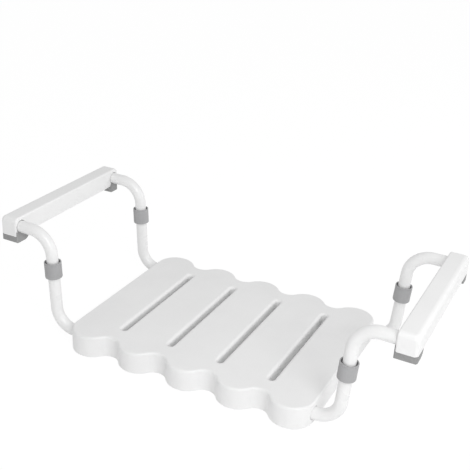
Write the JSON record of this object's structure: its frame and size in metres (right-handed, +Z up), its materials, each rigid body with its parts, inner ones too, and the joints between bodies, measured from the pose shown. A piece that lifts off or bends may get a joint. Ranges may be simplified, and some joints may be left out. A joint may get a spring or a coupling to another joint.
{
  "type": "bath seat",
  "caption": "Scalloped plastic seat board with drain slots, hung in a bathtub from padded rim bars by bent tubes that slide out to fit the tub and are clamped by knobs beneath.",
  "frame": {"origin": "on the plane of the seat board's lower edge, under the board's centre", "axes": "+X along the board from one rim bar to the other, +Y from the front to the rear, +Z up"},
  "size_m": [0.7142, 0.334, 0.1995],
  "materials": {
    "board_plastic": "satin moulded white",
    "tube_paint": "smooth white powder coat",
    "bar_plastic": "satin moulded white",
    "collar_plastic": "satin mid grey",
    "foot_rubber": "matt grey",
    "clamp_plastic": "matt grey",
    "knob_plastic": "satin dark grey",
    "plug_plastic": "matt black",
    "screw_steel": "bright zinc-plated",
    "insert_brass": "bright"
  },
  "bodies": {
    "seat": {"seat_board": "board_plastic", "tube_saddle_front_left": "clamp_plastic", "saddle_screw_front_left_1": "screw_steel", "saddle_screw_front_left_2": "screw_steel", "threaded_insert_front_left": "insert_brass", "tube_saddle_front_right": "clamp_plastic", "saddle_screw_front_right_1": "screw_steel", "saddle_screw_front_right_2": "screw_steel", "threaded_insert_front_right": "insert_brass", "tube_saddle_rear_left": "clamp_plastic", "saddle_screw_rear_left_1": "screw_steel", "saddle_screw_rear_left_2": "screw_steel", "threaded_insert_rear_left": "insert_brass", "tube_saddle_rear_right": "clamp_plastic", "saddle_screw_rear_right_1": "screw_steel", "saddle_screw_rear_right_2": "screw_steel", "threaded_insert_rear_right": "insert_brass"},
    "left_frame": {"lower_tube_front_left": "tube_paint", "tube_plug_front_left": "plug_plastic", "upper_tube_front_left": "tube_paint", "joint_collar_front_left": "collar_plastic", "bar_screw_front_left": "screw_steel", "foot_screw_front_left": "screw_steel", "rubber_foot_front_left": "foot_rubber", "lower_tube_rear_left": "tube_paint", "tube_plug_rear_left": "plug_plastic", "upper_tube_rear_left": "tube_paint", "joint_collar_rear_left": "collar_plastic", "bar_screw_rear_left": "screw_steel", "foot_screw_rear_left": "screw_steel", "rubber_foot_rear_left": "foot_rubber", "rim_bar_cover_left": "bar_plastic", "rim_bar_base_left": "bar_plastic"},
    "right_frame": {"lower_tube_front_right": "tube_paint", "tube_plug_front_right": "plug_plastic", "upper_tube_front_right": "tube_paint", "joint_collar_front_right": "collar_plastic", "bar_screw_front_right": "screw_steel", "foot_screw_front_right": "screw_steel", "rubber_foot_front_right": "foot_rubber", "lower_tube_rear_right": "tube_paint", "tube_plug_rear_right": "plug_plastic", "upper_tube_rear_right": "tube_paint", "joint_collar_rear_right": "collar_plastic", "bar_screw_rear_right": "screw_steel", "foot_screw_rear_right": "screw_steel", "rubber_foot_rear_right": "foot_rubber", "rim_bar_cover_right": "bar_plastic", "rim_bar_base_right": "bar_plastic"},
    "knob_front_left": {"locking_knob_front_left": "knob_plastic"},
    "knob_front_right": {"locking_knob_front_right": "knob_plastic"},
    "knob_rear_left": {"locking_knob_rear_left": "knob_plastic"},
    "knob_rear_right": {"locking_knob_rear_right": "knob_plastic"}
  },
  "joints": [
    {"name": "left_frame_slide", "type": "slide", "parent": "seat", "child": "left_frame", "axis": [-1, 0, 0], "range_m": [0, 0.03]},
    {"name": "right_frame_slide", "type": "slide", "parent": "seat", "child": "right_frame", "axis": [1, 0, 0], "range_m": [0, 0.03]},
    {"name": "front_left_knob_turn", "type": "hinge", "parent": "seat", "child": "knob_front_left", "pos_m": [-0.181, -0.1025, 0.0137], "axis": [0, 0, -1], "range_deg": [0, 540]},
    {"name": "front_right_knob_turn", "type": "hinge", "parent": "seat", "child": "knob_front_right", "pos_m": [0.181, -0.1025, 0.0137], "axis": [0, 0, -1], "range_deg": [0, 540]},
    {"name": "rear_left_knob_turn", "type": "hinge", "parent": "seat", "child": "knob_rear_left", "pos_m": [-0.181, 0.1025, 0.0137], "axis": [0, 0, -1], "range_deg": [0, 540]},
    {"name": "rear_right_knob_turn", "type": "hinge", "parent": "seat", "child": "knob_rear_right", "pos_m": [0.181, 0.1025, 0.0137], "axis": [0, 0, -1], "range_deg": [0, 540]}
  ]
}
